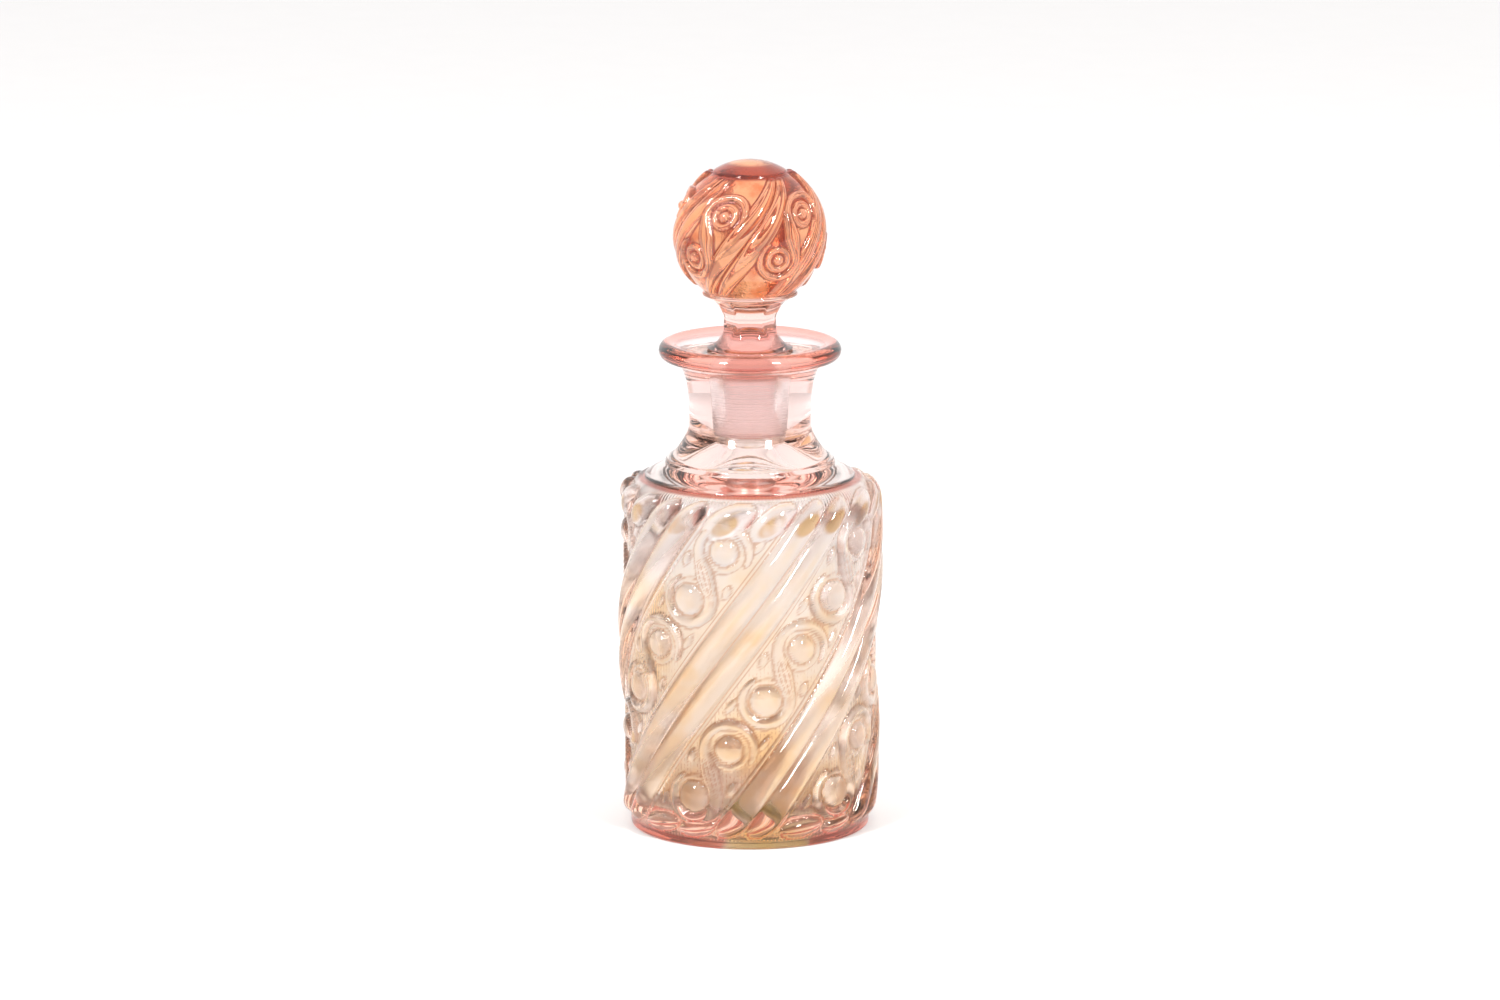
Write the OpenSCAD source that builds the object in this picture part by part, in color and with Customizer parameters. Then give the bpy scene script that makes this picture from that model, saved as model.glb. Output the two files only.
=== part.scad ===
// Scent bottle of pressed glass with a ball-topped stopper ground into its neck.
// Origin: middle of the foot. +Z is up, and the front of the pattern looks along -Y.

/* [Body] */
// Diameter of the body on the ground of its pattern, at the foot
body_d = 58.6; // [50:0.2:72]
// How much wider the ground is under the shoulder than at the foot
body_spread = 1; // [0:0.1:3]
// Height of the edge of the plain shoulder
body_h = 86.8; // [70:0.1:105]
// Height over which the side turns in to the shoulder
shoulder_round = 5; // [3:0.5:8]
// How far the edge of the plain shoulder lies inside the side of the body
shoulder_inset = 3.9; // [2:0.1:4.5]
// Rise of the plain shoulder from its edge to the neck
shoulder_rise = 3.6; // [1:0.1:6]
// Height of the plain rim of the foot, below the pattern
foot_h = 2.6; // [1.5:0.1:5]
// Width of the flat ring that the bottle stands on
foot_w = 6.7; // [3:0.1:10]
// Depth of the shallow hollow inside that ring
kick_h = 0.8; // [0.3:0.1:2]

/* [Inside] */
// Thickness of the side wall behind the pattern
wall_t = 2.6; // [2:0.1:4]
// Thickness of the bottom
floor_t = 6.5; // [4:0.5:10]
// Radius of the rounding between the bottom and the side wall
hollow_round = 6; // [2:0.5:10]
// Thickness of the shoulder under the foot of the neck
shoulder_t = 4.4; // [3:0.1:6]
// Height over which the hollow turns in under the shoulder
vault_round = 9; // [6:0.5:14]
// Diameter of the throat below the ground bore
throat_d = 11.2; // [8:0.2:11.4]
// Radius of the rounding where the hollow opens into the throat
throat_round = 8; // [2:0.5:8]

/* [Neck] */
// Diameter of the ring at the foot of the neck
ring_d = 41.2; // [36:0.2:42]
// Height of that ring
ring_h = 1.3; // [0.5:0.1:3]
// Diameter of the neck at its waist
neck_d = 29.8; // [26:0.2:35.8]
// Height from the ring up to the waist
neck_foot_h = 7.8; // [5:0.1:12]
// Height of the straight waist
waist_h = 2; // [1:0.5:12]
// Height from the waist up to the underside of the lip
neck_flare_h = 14.5; // [10:0.5:20]
// Diameter over the lip
lip_d = 45; // [41:0.5:54]
// Thickness of the lip's round bead
lip_t = 4.4; // [3:0.1:5.5]
// Depth of the dish from the top of the lip down to the mouth
dish_h = 2.1; // [1:0.1:3]

/* [Ground joint] */
// Diameter of the ground bore at the mouth
joint_d = 13.4; // [11.6:0.1:16.1]
// Loss of diameter for each millimetre down the bore
joint_taper = 0.08; // [0.05:0.01:0.12]
// Length of the ground plug
joint_l = 21.5; // [14:0.1:26]
// Clearance on the radius between plug and bore
joint_gap = 0.05; // [0.02:0.01:0.1]
// How far the stopper's flare reaches past the edge of the bore, on the radius
flare_lap = 3.8; // [1:0.1:5]

/* [Pattern of the body] */
// Times that the pattern repeats around the body and the ball
repeats = 5; // [4:1:5]
// Degrees that the pattern turns for each millimetre of height
lean = 1.424; // [0.8:0.01:1.8]
// Where the first row of scrolls would meet the table, in degrees from the front
scroll_at = -45.6; // [-72:0.1:72]
// Degrees between the crests of the two ribs of a pair
rib_pitch = 14.4; // [10:0.1:16]
// How far the ribs stand out
rib_h = 2.6; // [1:0.1:3.5]
// Height of the lowest scroll eye
eye_z = 12.8; // [11:0.1:16]
// Height from one scroll eye to the next along its row
eye_step = 12.25; // [12:0.05:15]
// Diameter of an eye
eye_d = 6.8; // [4:0.1:8]
// How far an eye stands out
eye_h = 1.9; // [0.8:0.1:2.5]
// Radius at which a scroll's band turns around an eye
curl_r = 5.8; // [4.5:0.1:6]
// Width of a scroll's band
band_w = 2.4; // [1:0.1:3]
// How far a scroll's band stands out
band_h = 1.4; // [0.6:0.1:2]

/* [Stopper] */
// Height of the flare, from the mouth up to the stem
flare_h = 5.2; // [3:0.1:8]
// Diameter of the six-sided stem over its corners
stem_d = 13; // [10:0.1:16]
// Height of the stem, up to the collar under the ball
stem_h = 3.1; // [2:0.1:10]
// Diameter of the collar where it meets the ball
collar_d = 23.2; // [18:0.2:26]
// Height of the collar
collar_h = 6.1; // [5:0.1:8]
// Diameter of the ball on the ground of its pattern
ball_d = 36.4; // [30:0.2:44]
// Diameter of the plain cap on the ball
cap_d = 18.2; // [12:0.2:20]
// Rise of the cap above the ball's own curve
cap_h = 0.2; // [0.1:0.1:1]

/* [Pattern of the ball] */
// Degrees from the equator of the ball to the lower scroll eyes
ball_eye_low = -11; // [-16:1:-5]
// Degrees from the equator of the ball to the upper scroll eyes
ball_eye_high = 23; // [20:1:30]
// Degrees around the ball from a lower scroll eye to its upper one
ball_eye_turn = 25; // [15:1:30]
// Where the first lower scroll eye is, in degrees from the front
ball_eye_at = -49; // [-72:1:72]
// Diameter of an eye on the ball
ball_eye_d = 4.4; // [3:0.1:6]
// Radius at which a scroll's band turns around an eye of the ball
ball_curl_r = 4.6; // [3.5:0.1:4.8]
// Width of a scroll's band on the ball
ball_band_w = 1.6; // [0.8:0.1:2]
// How far the ball's pattern stands out
ball_relief = 0.7; // [0.4:0.1:1]
// Degrees between the crests of the two ribs of a pair on the ball
ball_rib_pitch = 15; // [8:1:17]

/* [Hidden] */

// Depth to which the pattern is rooted in the glass, and to which its edges dip into it.
root = 0.9;
dip = 0.3;
// Bevels at the edge of the foot and of the plug's lower end.
foot_bevel = 0.6;
plug_bevel = 0.4;
// Draft of the ring at the foot of the neck, so that it tapers upwards.
ring_draft = 0.3;
// Gap between the mouth and the flare above it, and from the flare's edge to the dish around it.
seat_gap = 0.25;
dish_gap = 0.3;
// Radius of the wheel that cuts the flats of the stem.
cut_r = 4.6;
// Powers of the curves at the foot of the neck, up to the lip, and on the stopper.
neck_foot_power = 1.3;
neck_flare_power = 2.5;
flare_power = 1.6;
collar_power = 1.35;
// Steps in a curve of a section, and facets around a turned piece when it is shown.
curve_steps = 8;
round_fn = 96;

group_turn = 360 / repeats;

// Heights of the body and its hollow.
turn_z = body_h - shoulder_round;
ring_z = body_h + shoulder_rise;
kick_r = body_d / 2 - foot_bevel - foot_w;
inner_r = body_d / 2 - wall_t;
vault_z = ring_z - shoulder_t;

// Heights of the neck and the ground joint.
waist_z = ring_z + ring_h + neck_foot_h;
lip_z = waist_z + waist_h + neck_flare_h;
mouth_z = lip_z + lip_t - dish_h;
plug_z = mouth_z - joint_l;
ground_z = plug_z - 2;
flare_r = joint_d / 2 + flare_lap;

// Heights of the stopper.
stem_z = mouth_z + flare_h;
collar_z = stem_z + stem_h;
ball_base = collar_z + collar_h;
ball_r = ball_d / 2;
ball_z = ball_base + sqrt(pow(ball_r, 2) - pow(collar_d / 2, 2));
stem_flats = stem_d * cos(30);

// As many scrolls in a row as fit between the lowest eye and the turn of the shoulder.
band_reach = curl_r + band_w / 2;
scrolls = 1 + floor((turn_z - band_reach - eye_z - eye_step) / (2 * eye_step));

// Points on a quarter of a superellipse, from where it is level to where it is upright.
function quarter(level, upright, power = 2) = [
    for (i = [0 : curve_steps])
        let (a = 90 * i / curve_steps)
        [level.x + (upright.x - level.x) * pow(sin(a), 2 / power),
         upright.y + (level.y - upright.y) * pow(cos(a), 2 / power)]
];

// Points on an arc about a centre, from one angle to another.
function arc(centre, r, from, to, steps = curve_steps) = [
    for (i = [0 : steps])
        let (a = from + (to - from) * i / steps)
        centre + r * [cos(a), sin(a)]
];

function rest(points) = [for (i = [1 : len(points) - 1]) points[i]];
function backwards(points) = [for (i = [len(points) - 1 : -1 : 0]) points[i]];

// Radius of the body's ground at a height, below and on its turn in to the shoulder.
function side_r(z) = body_d / 2 + body_spread / 2 * min(z / turn_z, 1);
function ground_r(z) = z <= turn_z ? side_r(z)
    : side_r(z) - shoulder_inset * (1 - sqrt(max(0, 1 - pow((z - turn_z) / shoulder_round, 2))));

// Diameter of the ground bore and radius of the plug in it, at a height.
function bore_d(z) = joint_d - joint_taper * (mouth_z - z);
function plug_r(z) = bore_d(z) / 2 - joint_gap;

// Places on the body and on the ball, some way out from their ground.
function on_body(turn, z, lift) = [
    (ground_r(z) + lift) * sin(turn),
    -(ground_r(z) + lift) * cos(turn),
    z
];
function on_ball(turn, height, lift) = [0, 0, ball_z]
    + (ball_r + lift) * [cos(height) * sin(turn), -cos(height) * cos(turn), sin(height)];

// A closed skin over a row of sections that all have the same number of points.
module skin(sections) {
    n = len(sections[0]);
    top = (len(sections) - 1) * n;
    points = [for (s = sections) each s];
    sides = [
        for (i = [0 : n : top - 1])
            for (j = [0 : n - 1])
                let (a = i + j, b = i + (j + 1) % n)
                each [[a, a + n, b], [b, a + n, b + n]]
    ];
    ends = [
        for (j = [1 : n - 2])
            each [[0, j, j + 1], [top, top + j + 1, top + j]]
    ];
    polyhedron(points, concat(sides, ends));
}

// How far a pair of ribs stands out, across the pair from -2 to 2.
function pair_lift(u, h) = abs(u) > 1.99 ? -dip : max(h * pow(abs(sin(90 * u)), 0.75), h / 4);
// Share of its full lift that a rib has, as it rounds off towards both of its ends.
function rounded(t, share) = sqrt(max(0, 1 - pow(max(0, 1 - min(t, 1 - t) / share), 2)));
function rib_lift(u, h, t, share) = (pair_lift(u, h) + dip) * rounded(t, share) - dip;
// Stations from one end to the other, closest at both ends.
function stations(steps) = [for (i = [0 : steps]) (1 - cos(180 * i / steps)) / 2];

// Two sloping ribs side by side, as high as the pattern.
module rib_pair(turn) {
    low = foot_h;
    high = body_h - 0.6;
    skin([
        for (t = stations(17))
            let (z = low + (high - low) * t, at = turn + lean * z)
            concat(
                [for (u = [-2 : 1 / 3 : 2.01])
                    on_body(at + u / 2 * rib_pitch, z, rib_lift(u, rib_h, t, 0.06))],
                [for (u = [2 : -1 : -2]) on_body(at + u / 2 * rib_pitch, z, -root)]
            )
    ]);
}

// Points and headings of an S that turns left around the upper eye and right around the lower one.
function scroll_path(lower, upper, r) =
    let (
        way = lower - upper,
        leave = atan2(way.y, way.x) + 360 - acos(2 * r / norm(way)),
        meet = leave - 180,
        first = -35,
        last = -235,
        steps = 8
    )
    concat(
        [for (i = [0 : steps]) let (a = first + (leave - first) * i / steps)
            [upper + r * [cos(a), sin(a)], a + 90]],
        [for (i = [0 : steps]) let (a = meet + (last - meet) * i / steps)
            [lower + r * (1 - 0.12 * i / steps) * [cos(a), sin(a)], a - 90]]
    );

// Across a scroll's band: distance to the right of its path, and share of its height.
band_section = [[-0.5, -1], [-0.38, 0.65], [0, 1], [0.38, 0.65], [0.5, -1]];
function band_lift(share, h) = share < 0 ? -root : share * h;
// Places across a band of width w at a point of its path.
function across(p, w) = [for (s = band_section) [p[0] + s[0] * w * [sin(p[1]), -cos(p[1])], s[1]]];

module body_scroll(turn, z) {
    mm_per_degree = side_r(z) * PI / 180;
    path = scroll_path([0, 0], [lean * eye_step * mm_per_degree, eye_step], curl_r);
    skin([
        for (p = path)
            [for (a = across(p, band_w))
                on_body(turn + a[0].x / mm_per_degree, z + a[0].y, band_lift(a[1], band_h))]
    ]);
}

// A round dome of diameter d and height h on a surface whose outward way is +Z.
module eye(d, h) {
    r = (d * d / 4 + h * h) / (2 * h);
    translate([0, 0, h - r]) sphere(r = r);
}

module body_eye(turn, z) {
    translate(on_body(turn, z, 0))
        rotate([90, 0, turn])
            eye(eye_d, eye_h);
}

// A row of scrolls that climbs the body, each with a lower and an upper eye.
module body_row(turn) {
    for (i = [0 : scrolls - 1]) {
        low = eye_z + 2 * i * eye_step;
        high = low + eye_step;
        body_scroll(turn + lean * low, low);
        body_eye(turn + lean * low, low);
        body_eye(turn + lean * high, high);
    }
}

// Section of the glass from its axis out to its plain outer surface.
function bottle_outline() =
    let (
        bead_r = lip_t / 2,
        bead = [lip_d / 2 - bead_r, lip_z + bead_r],
        ring_top = [ring_d / 2 - ring_draft, ring_z + ring_h]
    )
    concat(
        [[0, kick_h], [kick_r - 3 * kick_h, kick_h], [kick_r, 0],
         [body_d / 2 - foot_bevel, 0], [body_d / 2, foot_bevel]],
        backwards(quarter([ground_r(body_h), body_h], [side_r(turn_z), turn_z])),
        [[ring_d / 2, ring_z]],
        quarter(ring_top, [neck_d / 2, waist_z], neck_foot_power),
        backwards(quarter([bead.x, lip_z], [neck_d / 2, waist_z + waist_h], neck_flare_power)),
        arc(bead, bead_r, -75, 110),
        [[flare_r + dish_gap, mouth_z], [0, mouth_z]]
    );

// Section of the hollow: the room for the scent, then the throat up to the ground bore.
function hollow_outline() =
    let (
        floor_edge = [inner_r - hollow_round, floor_t],
        vault_edge = [throat_d / 2 + throat_round, vault_z],
        throat_top = max(ground_z, vault_z + throat_round) + 1
    )
    concat(
        [[0, floor_t]],
        quarter(floor_edge, [inner_r, floor_t + hollow_round]),
        backwards(quarter(vault_edge, [inner_r, vault_z - vault_round])),
        rest(quarter(vault_edge, [throat_d / 2, vault_z + throat_round])),
        [[throat_d / 2, throat_top], [0, throat_top]]
    );

module bottle() {
    bore_top = mouth_z + 1;
    color([0.96, 0.80, 0.70, 0.6])
        difference() {
            union() {
                rotate_extrude($fn = round_fn) polygon(bottle_outline());
                for (i = [0 : repeats - 1]) {
                    body_row(scroll_at + i * group_turn);
                    rib_pair(scroll_at + (i + 0.5) * group_turn);
                }
            }
            rotate_extrude($fn = round_fn) polygon(hollow_outline());
            translate([0, 0, ground_z])
                cylinder(
                    h = bore_top - ground_z,
                    d1 = bore_d(ground_z),
                    d2 = bore_d(bore_top),
                    $fn = round_fn
                );
        }
}

// Section of the stopper from its axis out, without the six flats on its stem.
function stopper_outline() =
    let (
        cap_rise = ball_r * (1 - sin(acos(cap_d / ball_d))) + cap_h,
        cap_r = (pow(cap_d / 2, 2) + pow(cap_rise, 2)) / (2 * cap_rise),
        cap_centre = [0, ball_z + ball_r + cap_h - cap_r]
    )
    concat(
        [[0, plug_z], [plug_r(plug_z) - plug_bevel, plug_z],
         [plug_r(plug_z + plug_bevel), plug_z + plug_bevel], [plug_r(mouth_z), mouth_z],
         [plug_r(mouth_z) + seat_gap, mouth_z + seat_gap], [flare_r - 0.2, mouth_z + seat_gap]],
        quarter([flare_r, mouth_z + seat_gap + 0.3], [stem_d / 2, stem_z], flare_power),
        backwards(quarter([collar_d / 2, ball_base], [stem_d / 2, collar_z], collar_power)),
        rest(arc([0, ball_z], ball_r, -acos(collar_d / ball_d), acos(cap_d / ball_d), 4 * curve_steps)),
        rest(arc(cap_centre, cap_r, acos(cap_d / 2 / cap_r), 90))
    );

// Six shallow hollow flats cut around the stem.
module stem_cuts() {
    for (i = [0 : 5])
        rotate([0, 0, 60 * i])
            translate([0, -stem_flats / 2 - cut_r, (stem_z + collar_z) / 2])
                rotate([0, 90, 0])
                    cylinder(r = cut_r, h = 2 * collar_d, center = true, $fn = round_fn);
}

module ball_scroll(turn) {
    degrees_per_mm = 180 / (PI * ball_r);
    widest = cos((ball_eye_low + ball_eye_high) / 2);
    lower = [0, ball_eye_low] / degrees_per_mm;
    upper = [ball_eye_turn * widest, ball_eye_high] / degrees_per_mm;
    skin([
        for (p = scroll_path(lower, upper, ball_curl_r))
            [for (a = across(p, ball_band_w))
                let (height = a[0].y * degrees_per_mm, around = a[0].x * degrees_per_mm / cos(height))
                on_ball(turn + around, height, band_lift(a[1], ball_relief))]
    ]);
}

module ball_eye(turn, height) {
    translate(on_ball(turn, height, 0))
        rotate([90 - height, 0, turn])
            eye(ball_eye_d, ball_relief);
}

// Two sloping ribs between two rows of scrolls on the ball, narrowing towards both ends.
module ball_ribs(turn) {
    low = -46;
    high = 56;
    ball_lean = ball_eye_turn / (ball_eye_high - ball_eye_low);
    skin([
        for (t = stations(12))
            let (
                height = low + (high - low) * t,
                at = turn + (height - ball_eye_low) * ball_lean,
                half = ball_rib_pitch * (0.55 + 0.45 * sin(180 * t))
            )
            concat(
                [for (u = [-2 : 0.5 : 2])
                    on_ball(at + u / 2 * half, height, rib_lift(u, ball_relief, t, 0.15))],
                [for (u = [2 : -1 : -2]) on_ball(at + u / 2 * half, height, -root)]
            )
    ]);
}

module stopper() {
    color([0.90, 0.52, 0.42, 0.8]) {
        difference() {
            rotate_extrude($fn = round_fn) polygon(stopper_outline());
            stem_cuts();
        }
        for (i = [0 : repeats - 1]) {
            turn = ball_eye_at + i * group_turn;
            ball_scroll(turn);
            ball_eye(turn, ball_eye_low);
            ball_eye(turn + ball_eye_turn, ball_eye_high);
            ball_ribs(turn + group_turn / 2);
        }
    }
}

bottle();
stopper();
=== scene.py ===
"""A pressed-glass scent bottle with a ball stopper, built around its packed CAD frame."""

import bpy
import numpy as np
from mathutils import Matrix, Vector


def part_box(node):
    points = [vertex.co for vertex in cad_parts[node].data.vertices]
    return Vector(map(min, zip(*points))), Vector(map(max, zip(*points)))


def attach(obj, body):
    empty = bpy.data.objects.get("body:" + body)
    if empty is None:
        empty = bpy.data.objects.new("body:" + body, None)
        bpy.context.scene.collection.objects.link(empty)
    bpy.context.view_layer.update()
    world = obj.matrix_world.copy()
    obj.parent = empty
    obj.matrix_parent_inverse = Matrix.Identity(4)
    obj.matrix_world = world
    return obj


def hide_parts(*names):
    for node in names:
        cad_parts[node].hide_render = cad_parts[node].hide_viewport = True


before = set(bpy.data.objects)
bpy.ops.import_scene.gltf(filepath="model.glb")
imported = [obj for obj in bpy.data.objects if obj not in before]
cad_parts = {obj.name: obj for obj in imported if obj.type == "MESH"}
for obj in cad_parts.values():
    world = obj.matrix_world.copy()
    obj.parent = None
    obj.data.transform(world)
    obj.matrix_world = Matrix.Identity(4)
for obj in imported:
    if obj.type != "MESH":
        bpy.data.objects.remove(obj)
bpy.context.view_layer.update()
BOTTLE_LOW, BOTTLE_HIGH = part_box("bottle")
STOPPER_LOW, STOPPER_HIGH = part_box("stopper")

bl_info = {
    "name": "Scent bottle",
    "version": (1, 0, 0),
    "blender": (4, 5, 0),
    "location": "View3D > Sidebar > Scent bottle",
    "description": "Pressed-glass scent bottle with a ball stopper, and a studio to show it in",
    "category": "Add Mesh",
}

MM = 0.001
REPEATS = 5
RIM_Z = 2.4 * MM
DISH_MM = 2.1
RESIDUE_AT = (0.004, -0.0295, 0.0015)
FLOOR_Z = -0.00005
SOFTBOX_AT = (0.84, -1.15, 1.0)
SOFTBOX_SIZE = (0.28, 0.42)
SENSOR_MM = 36.0
SHIFT_Y = -0.0048
GLASS_IOR = 1.5
BOTTLE_TINT, BOTTLE_DENSITY = (0.995, 0.885, 0.84), 75.0
STOPPER_TINT, STOPPER_DENSITY = (0.93, 0.48, 0.36), 18.0
MASKS = ("bare_ground", "scent_film", "groove", "crest", "rib_end")


# ---------------------------------------------------------------- sizes and colours


def length(name, mm, description):
    """A length property, given in millimetres."""
    return bpy.props.FloatProperty(
        name=name, description=description, default=mm * MM, min=0, unit="LENGTH", precision=5
    )


def angle(name, degrees, description):
    """An angle property, given in degrees."""
    return bpy.props.FloatProperty(
        name=name, description=description, default=float(np.radians(degrees)), subtype="ANGLE"
    )


def colour(name, rgb, description):
    """A colour property."""
    return bpy.props.FloatVectorProperty(
        name=name, description=description, default=rgb, size=3, min=0, max=1, subtype="COLOR"
    )


def amount(name, value, description):
    """A plain number property."""
    return bpy.props.FloatProperty(name=name, description=description, default=value, min=0)


class BottleSizes(bpy.types.PropertyGroup):
    """Sizes of the bottle that the packed frame doesn't state."""

    side_r: length("Side radius", 29.3, "Radius of the ground of the pattern at the foot")
    side_spread: length("Spread", 0.5, "How much wider the ground is under the shoulder")
    shoulder_z: length("Shoulder height", 87.0, "Height of the edge of the plain shoulder")
    shoulder_r: length("Shoulder radius", 25.7, "Radius of the edge of the plain shoulder")
    turn_h: length("Turn", 5.2, "Height over which the side turns in to the shoulder")
    foot_ring: length("Foot ring", 22.0, "Inner radius of the ring that the bottle stands on")
    kick_h: length("Kick", 0.8, "Depth of the hollow under the bottom")
    ring_r: length("Neck ring radius", 20.6, "Radius of the ring at the foot of the neck")
    ring_z: length("Neck ring height", 90.4, "Height of the foot of that ring")
    ring_h: length("Neck ring depth", 1.3, "Height of that ring itself")
    neck_r: length("Neck radius", 14.9, "Radius of the neck at its waist")
    waist_low: length("Waist foot", 99.5, "Height where the neck's waist begins")
    waist_high: length("Waist top", 101.5, "Height where the neck's waist ends")
    lip_r: length("Lip", 22.3, "Radius over the lip")
    bead_r: length("Lip bead", 2.2, "Radius of the lip's round bead")
    dish_h: length("Dish", DISH_MM, "Depth from the top of the lip to the mouth")
    dish_r: length("Dish radius", 12.6, "Radius of the flat bottom of the dish")
    mouth_r: length("Mouth", 6.7, "Radius of the ground bore at the mouth")
    bore_r: length("Bore end", 5.76, "Radius of the ground bore at its lower end")
    ground_z: length("Bore foot", 94.8, "Height of the lower end of the ground bore")
    throat_r: length("Throat", 5.6, "Radius of the throat below the ground bore")
    throat_turn: length("Throat turn", 8.0, "Radius of the rounding where the hollow opens into it")
    vault_z: length("Vault", 86.0, "Height of the hollow under the neck")
    wall: length("Wall", 2.6, "Thickness of the side behind the pattern")
    floor_h: length("Floor", 6.5, "Thickness of the bottom")
    rib_h: length("Rib height", 2.75, "How far the ribs stand out")
    dome_h: length("Eye height", 2.0, "How far the domes of the scrolls stand out")
    band_h: length("Band height", 1.35, "How far the bands of the scrolls stand out")
    lean: angle("Lean", 1.424, "Turn of the pattern for each millimetre of height")
    start: angle("Start", -45.6, "Where the front row of scrolls would meet the table")


class StopperSizes(bpy.types.PropertyGroup):
    """Sizes of the stopper that the packed frame doesn't state."""

    plug_low: length("Plug end", 5.86, "Radius of the lower end of the ground plug")
    plug_high: length("Plug top", 6.71, "Radius of the ground plug at the mouth")
    flare_r: length("Flare", 10.5, "Radius of the flare that closes the mouth")
    stem_r: length("Stem", 6.4, "Radius of the six-sided stem over its corners")
    stem_low: length("Stem foot", 123.5, "Height where the flare ends in the stem")
    stem_high: length("Stem top", 126.6, "Height where the collar begins")
    collar_r: length("Collar", 11.6, "Radius of the collar's rim under the ball")
    collar_z: length("Collar top", 132.1, "Height of that rim")
    ball_z: length("Ball centre", 146.72, "Height of the middle of the ball")
    ball_r: length("Ball", 17.7, "Radius of the ground of the ball's pattern")
    cap_r: length("Cap", 9.05, "Radius of the plain cap on the ball")
    relief: length("Relief", 1.1, "How far the ball's pattern stands out")


class GlassColours(bpy.types.PropertyGroup):
    """Colours of the two glasses."""

    clear: colour("Clear", (0.90, 0.87, 0.905), "Pale pink glass of the neck")
    pale: colour("Pale", (0.985, 0.98, 0.985), "Shoulder and foot of the neck")
    pearl: colour("Pearl", (0.965, 0.99, 1.0), "Upper part of the body")
    peach: colour("Peach", (0.975, 0.935, 0.86), "Body of the bottle")
    blush: colour("Blush", (1.0, 0.94, 0.86), "Lower part of the body")
    amber: colour("Amber", (0.98, 0.73, 0.38), "Amber stain in the body")
    ochre: colour("Ochre", (0.58, 0.28, 0.015), "Ochre spots under the shoulder")
    rose: colour("Rose", (0.89, 0.36, 0.30), "Rose of the lip and the flare")
    # Deep rose at the foot's rim and the shoulder's edge: partly the glass's own rose, partly painted
    # shade along those edges.
    garnet_and_edge_shade: colour("Garnet", (0.50, 0.08, 0.05), "Deep rose of the foot's rim")
    # Salmon of the plug and stem, also laid on the ball's crests as painted highlight.
    salmon: colour("Salmon", (1.0, 0.87, 0.82), "Plug and stem of the stopper")
    orange: colour("Orange", (0.92, 0.50, 0.25), "Crests of the ball's pattern")
    coral: colour("Coral", (0.70, 0.16, 0.045), "Ground of the ball's pattern")
    # Painted highlight: a near-white laid on the sharp crests of the body's pattern.
    light: colour("Light", (0.995, 0.97, 0.95), "Sharp crests of the body's pattern")
    # Painted shade: a brown laid in the grooves of the body's pattern and along the ticks of its hatch.
    groove_shade: colour("Umber", (0.46, 0.20, 0.09), "Stain in the grooves of the body")
    # Deep russet of the ball, in random patches and a band at the cap, also laid in the ball's grooves
    # as painted shade.
    russet_and_groove_shade: colour("Russet", (0.20, 0.014, 0.006), "Deep colour in the grooves of the ball")
    moss: colour("Moss", (0.45, 0.36, 0.02), "Residue of old scent at the foot")


class StudioSizes(bpy.types.PropertyGroup):
    """Camera and lights of the studio."""

    distance: length("Distance", 1950.0, "From the camera to the object")
    aim_z: length("Aim", 82.5, "Height that the camera looks at")
    pitch: angle("Pitch", 12.2, "How far the camera looks down")
    lens: amount("Lens", 191.4, "Focal length in millimetres on a sensor 36 mm wide")
    key: amount("Key", 26.0, "Power of each softbox in watts")


# ---------------------------------------------------------------- curves and fields


def smooth(x):
    """Eases from 0 to 1 as x goes from 0 to 1, by 3x^2 - 2x^3."""
    x = np.clip(x, 0, 1)
    return x * x * (3 - 2 * x)


def quarter(level, upright, power, steps):
    """A quarter superellipse from a point where it is level to one where it is upright."""
    a = np.linspace(0, np.pi / 2, steps)
    s = np.clip(np.sin(a), 0, 1) ** (2 / power)
    c = np.clip(np.cos(a), 0, 1) ** (2 / power)
    return np.column_stack(
        [level[0] + (upright[0] - level[0]) * s, upright[1] + (level[1] - upright[1]) * c]
    )


def arc(centre, r, start, end, steps):
    """Points of a circle's arc from one angle to another, in degrees."""
    a = np.radians(np.linspace(start, end, steps))
    return np.column_stack([centre[0] + r * np.cos(a), centre[1] + r * np.sin(a)])


def line(start, end, steps):
    """Evenly spaced points of a straight line, without its first one."""
    t = np.linspace(0, 1, steps + 1)[1:, None]
    return np.array(start) * (1 - t) + np.array(end) * t


def normals_of(section):
    """Unit normals to the right of a section's way, from the differences of its points."""
    way = np.gradient(section, axis=0)
    way /= np.linalg.norm(way, axis=1)[:, None] + 1e-12
    return np.column_stack([way[:, 1], -way[:, 0]])


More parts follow.
